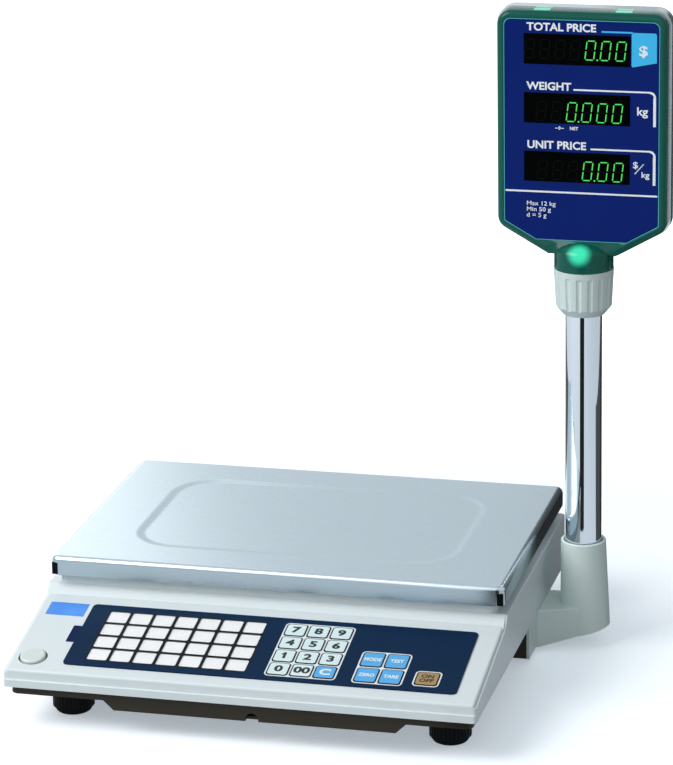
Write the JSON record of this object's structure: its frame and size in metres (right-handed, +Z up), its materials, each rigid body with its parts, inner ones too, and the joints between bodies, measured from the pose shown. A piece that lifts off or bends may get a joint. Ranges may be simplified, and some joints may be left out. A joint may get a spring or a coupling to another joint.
{
  "type": "retail price scale",
  "caption": "Counter weighing scale with a steel tray, a sloped key deck with preset labels, levelling feet and a two-sided display on a pole.",
  "frame": {"origin": "on the counter top, below the middle of the case", "axes": "+X to the operator's right, towards the pole; +Y from the key deck to the back; +Z up"},
  "size_m": [0.4948, 0.3734, 0.5486],
  "materials": {
    "cover": "glossy moulded shell",
    "pan": "satin dark paint",
    "screw_steel": "plain zinc",
    "cast_plate": "as cast",
    "cell_alloy": "machined",
    "buffer_rubber": "matt",
    "tray_steel": "fine brushed",
    "panel_film": "printed film, satin",
    "clear_film": "clear satin film",
    "label_card": "printed card",
    "circuit_board": "solder mask",
    "dome_steel": "polished",
    "vial": "clear, tinted liquid",
    "badge_blue": "plain",
    "bracket_plastic": "moulded",
    "pole_chrome": "bright chrome",
    "head_teal": "translucent moulding",
    "head_silver": "moulded",
    "head_film": "printed film, gloss",
    "display_black": "dark glass",
    "collar_plastic": "moulded",
    "battery_case": "moulded",
    "transformer_steel": "varnished laminations",
    "inlet_black": "moulded",
    "cable_jacket": "matt",
    "foot_black": "moulded",
    "sole_rubber": "matt",
    "key_pale": "printed film, satin",
    "key_blue": "printed film, satin",
    "key_tan": "printed film, satin"
  },
  "bodies": {
    "base": {"upper_case": "cover", "base_pan": "pan", "case_screws": "screw_steel", "load_cell_spacer": "cast_plate", "load_cell": "cell_alloy", "load_cell_screws": "screw_steel", "overload_stops": "screw_steel", "keypad_overlay": "panel_film", "preset_window": "clear_film", "key_circuit": "circuit_board", "key_domes": "dome_steel", "level_cup": "cover", "level_vial": "vial", "deck_badge": "badge_blue", "pole_bracket": "bracket_plastic", "bracket_screws": "screw_steel", "pole": "pole_chrome", "main_board": "circuit_board", "battery": "battery_case", "transformer": "transformer_steel", "mains_inlet": "inlet_black", "display_cable": "cable_jacket"},
    "tray_support": {"tray_carrier": "cast_plate", "carrier_screws": "screw_steel", "tray_buffers": "buffer_rubber"},
    "tray": {"weighing_tray": "tray_steel"},
    "display_head": {"head_front_shell": "head_teal", "head_rear_shell": "head_silver", "front_overlay": "head_film", "rear_overlay": "head_film", "display_board": "circuit_board", "display_modules": "display_black", "neck_collet": "collar_plastic"},
    "collar": {"collar_nut": "collar_plastic"},
    "preset_labels": {"label_sheet": "label_card"},
    "key_7": {"key_7": "key_pale"},
    "key_8": {"key_8": "key_pale"},
    "key_9": {"key_9": "key_pale"},
    "key_4": {"key_4": "key_pale"},
    "key_5": {"key_5": "key_pale"},
    "key_6": {"key_6": "key_pale"},
    "key_1": {"key_1": "key_pale"},
    "key_2": {"key_2": "key_pale"},
    "key_3": {"key_3": "key_pale"},
    "key_0": {"key_0": "key_pale"},
    "key_00": {"key_00": "key_pale"},
    "key_clear": {"key_clear": "key_blue"},
    "key_mode": {"key_mode": "key_blue"},
    "key_test": {"key_test": "key_blue"},
    "key_zero": {"key_zero": "key_blue"},
    "key_tare": {"key_tare": "key_blue"},
    "key_power": {"key_power": "key_tan"},
    "foot_front_left": {"foot_sole_front_left": "sole_rubber"},
    "foot_dial_front_left": {"foot_wheel_front_left": "foot_black"},
    "foot_front_right": {"foot_sole_front_right": "sole_rubber"},
    "foot_dial_front_right": {"foot_wheel_front_right": "foot_black"},
    "foot_rear_left": {"foot_sole_rear_left": "sole_rubber"},
    "foot_dial_rear_left": {"foot_wheel_rear_left": "foot_black"},
    "foot_rear_right": {"foot_sole_rear_right": "sole_rubber"},
    "foot_dial_rear_right": {"foot_wheel_rear_right": "foot_black"}
  },
  "joints": [
    {"name": "key_7_press", "type": "slide", "parent": "base", "child": "key_7", "axis": [0, 0.2011, -0.9796], "range_m": [0, 0.0005], "stiffness_N_per_m": 3000},
    {"name": "key_8_press", "type": "slide", "parent": "base", "child": "key_8", "axis": [0, 0.2011, -0.9796], "range_m": [0, 0.0005], "stiffness_N_per_m": 3000},
    {"name": "key_9_press", "type": "slide", "parent": "base", "child": "key_9", "axis": [0, 0.2011, -0.9796], "range_m": [0, 0.0005], "stiffness_N_per_m": 3000},
    {"name": "key_4_press", "type": "slide", "parent": "base", "child": "key_4", "axis": [0, 0.2011, -0.9796], "range_m": [0, 0.0005], "stiffness_N_per_m": 3000},
    {"name": "key_5_press", "type": "slide", "parent": "base", "child": "key_5", "axis": [0, 0.2011, -0.9796], "range_m": [0, 0.0005], "stiffness_N_per_m": 3000},
    {"name": "key_6_press", "type": "slide", "parent": "base", "child": "key_6", "axis": [0, 0.2011, -0.9796], "range_m": [0, 0.0005], "stiffness_N_per_m": 3000},
    {"name": "key_1_press", "type": "slide", "parent": "base", "child": "key_1", "axis": [0, 0.2011, -0.9796], "range_m": [0, 0.0005], "stiffness_N_per_m": 3000},
    {"name": "key_2_press", "type": "slide", "parent": "base", "child": "key_2", "axis": [0, 0.2011, -0.9796], "range_m": [0, 0.0005], "stiffness_N_per_m": 3000},
    {"name": "key_3_press", "type": "slide", "parent": "base", "child": "key_3", "axis": [0, 0.2011, -0.9796], "range_m": [0, 0.0005], "stiffness_N_per_m": 3000},
    {"name": "key_0_press", "type": "slide", "parent": "base", "child": "key_0", "axis": [0, 0.2011, -0.9796], "range_m": [0, 0.0005], "stiffness_N_per_m": 3000},
    {"name": "key_00_press", "type": "slide", "parent": "base", "child": "key_00", "axis": [0, 0.2011, -0.9796], "range_m": [0, 0.0005], "stiffness_N_per_m": 3000},
    {"name": "key_clear_press", "type": "slide", "parent": "base", "child": "key_clear", "axis": [0, 0.2011, -0.9796], "range_m": [0, 0.0005], "stiffness_N_per_m": 3000},
    {"name": "key_mode_press", "type": "slide", "parent": "base", "child": "key_mode", "axis": [0, 0.2011, -0.9796], "range_m": [0, 0.0005], "stiffness_N_per_m": 3000},
    {"name": "key_test_press", "type": "slide", "parent": "base", "child": "key_test", "axis": [0, 0.2011, -0.9796], "range_m": [0, 0.0005], "stiffness_N_per_m": 3000},
    {"name": "key_zero_press", "type": "slide", "parent": "base", "child": "key_zero", "axis": [0, 0.2011, -0.9796], "range_m": [0, 0.0005], "stiffness_N_per_m": 3000},
    {"name": "key_tare_press", "type": "slide", "parent": "base", "child": "key_tare", "axis": [0, 0.2011, -0.9796], "range_m": [0, 0.0005], "stiffness_N_per_m": 3000},
    {"name": "key_power_press", "type": "slide", "parent": "base", "child": "key_power", "axis": [0, 0.2011, -0.9796], "range_m": [0, 0.0005], "stiffness_N_per_m": 3000},
    {"name": "labels_pull", "type": "slide", "parent": "base", "child": "preset_labels", "axis": [-1, 0, 0], "range_m": [0, 0.028]},
    {"name": "load_cell_flex", "type": "slide", "parent": "base", "child": "tray_support", "axis": [0, 0, 1], "range_m": [-0.0006, 0], "stiffness_N_per_m": 250000, "springref_m": 0.0001},
    {"name": "tray_lift", "type": "slide", "parent": "tray_support", "child": "tray", "axis": [0, 0, 1], "range_m": [0, 0.04]},
    {"name": "head_turn", "type": "hinge", "parent": "base", "child": "display_head", "pos_m": [0.228, 0.0938, 0.34], "axis": [0, 0, 1], "range_deg": [-165, 165]},
    {"name": "collar_turn", "type": "hinge", "parent": "display_head", "child": "collar", "pos_m": [0.228, 0.0938, 0.31], "axis": [0, 0, 1], "range_deg": [0, 180]},
    {"name": "foot_front_left_height", "type": "slide", "parent": "base", "child": "foot_front_left", "axis": [0, 0, 1], "range_m": [-0.0045, 0.003]},
    {"name": "foot_dial_front_left_turn", "type": "hinge", "parent": "foot_front_left", "child": "foot_dial_front_left", "pos_m": [-0.152, -0.13775, 0.02], "axis": [0, 0, 1], "range_deg": [-1081, 721]},
    {"name": "foot_front_right_height", "type": "slide", "parent": "base", "child": "foot_front_right", "axis": [0, 0, 1], "range_m": [-0.0045, 0.003]},
    {"name": "foot_dial_front_right_turn", "type": "hinge", "parent": "foot_front_right", "child": "foot_dial_front_right", "pos_m": [0.1635, -0.13775, 0.02], "axis": [0, 0, 1], "range_deg": [-1081, 721]},
    {"name": "foot_rear_left_height", "type": "slide", "parent": "base", "child": "foot_rear_left", "axis": [0, 0, 1], "range_m": [-0.0045, 0.003]},
    {"name": "foot_dial_rear_left_turn", "type": "hinge", "parent": "foot_rear_left", "child": "foot_dial_rear_left", "pos_m": [-0.152, 0.13775, 0.02], "axis": [0, 0, 1], "range_deg": [-1081, 721]},
    {"name": "foot_rear_right_height", "type": "slide", "parent": "base", "child": "foot_rear_right", "axis": [0, 0, 1], "range_m": [-0.0045, 0.003]},
    {"name": "foot_dial_rear_right_turn", "type": "hinge", "parent": "foot_rear_right", "child": "foot_dial_rear_right", "pos_m": [0.1635, 0.13775, 0.02], "axis": [0, 0, 1], "range_deg": [-1081, 721]}
  ],
  "couplings": [
    {"joint": "foot_dial_front_left_turn", "follows": "foot_front_left_height", "rad_per_m": 4188.8},
    {"joint": "foot_dial_front_right_turn", "follows": "foot_front_right_height", "rad_per_m": 4188.8},
    {"joint": "foot_dial_rear_left_turn", "follows": "foot_rear_left_height", "rad_per_m": 4188.8},
    {"joint": "foot_dial_rear_right_turn", "follows": "foot_rear_right_height", "rad_per_m": 4188.8}
  ]
}
